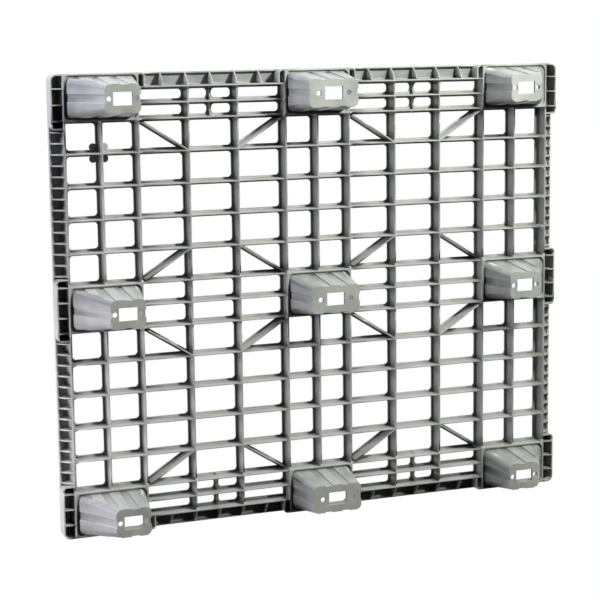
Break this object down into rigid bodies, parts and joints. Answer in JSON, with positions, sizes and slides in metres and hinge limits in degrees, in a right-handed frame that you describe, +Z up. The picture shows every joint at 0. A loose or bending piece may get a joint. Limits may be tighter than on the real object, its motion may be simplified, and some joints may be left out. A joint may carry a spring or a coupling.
{
  "type": "plastic pallet",
  "caption": "Light moulded plastic pallet with an open ribbed deck, a channel rim and hollow tapered feet that nest; four-way fork entry.",
  "frame": {"origin": "on the floor under the middle of the deck", "axes": "+X along the long side, +Y along the short side from front to back, +Z up out of the deck"},
  "size_m": [1.2, 1, 0.13],
  "materials": {
    "grey_polyethylene": "satin as-moulded recycled polyethylene"
  },
  "bodies": {
    "root": {"deck_bay_back_left": "grey_polyethylene", "deck_bay_back_right": "grey_polyethylene", "deck_bay_front_left": "grey_polyethylene", "deck_bay_front_right": "grey_polyethylene", "deck_edge_back_left": "grey_polyethylene", "deck_edge_back_right": "grey_polyethylene", "deck_edge_front_left": "grey_polyethylene", "deck_edge_front_right": "grey_polyethylene", "deck_middle_left": "grey_polyethylene", "deck_middle_right": "grey_polyethylene", "deck_strip_back_centre": "grey_polyethylene", "deck_strip_back_left": "grey_polyethylene", "deck_strip_back_right": "grey_polyethylene", "deck_strip_front_centre": "grey_polyethylene", "deck_strip_front_left": "grey_polyethylene", "deck_strip_front_right": "grey_polyethylene", "foot_back_centre": "grey_polyethylene", "foot_back_left": "grey_polyethylene", "foot_back_right": "grey_polyethylene", "foot_frame_back_centre": "grey_polyethylene", "foot_frame_back_left": "grey_polyethylene", "foot_frame_back_right": "grey_polyethylene", "foot_frame_front_centre": "grey_polyethylene", "foot_frame_front_left": "grey_polyethylene", "foot_frame_front_right": "grey_polyethylene", "foot_frame_middle_centre": "grey_polyethylene", "foot_frame_middle_left": "grey_polyethylene", "foot_frame_middle_right": "grey_polyethylene", "foot_front_centre": "grey_polyethylene", "foot_front_left": "grey_polyethylene", "foot_front_right": "grey_polyethylene", "foot_middle_centre": "grey_polyethylene", "foot_middle_left": "grey_polyethylene", "foot_middle_right": "grey_polyethylene", "rim_back_rail_left": "grey_polyethylene", "rim_back_rail_right": "grey_polyethylene", "rim_bumper_left": "grey_polyethylene", "rim_bumper_right": "grey_polyethylene", "rim_corner_back_left": "grey_polyethylene", "rim_corner_back_right": "grey_polyethylene", "rim_corner_front_left": "grey_polyethylene", "rim_corner_front_right": "grey_polyethylene", "rim_front_rail_left": "grey_polyethylene", "rim_front_rail_right": "grey_polyethylene", "rim_left_rail_back": "grey_polyethylene", "rim_left_rail_front": "grey_polyethylene", "rim_right_rail_back": "grey_polyethylene", "rim_right_rail_front": "grey_polyethylene"}
  },
  "joints": []
}
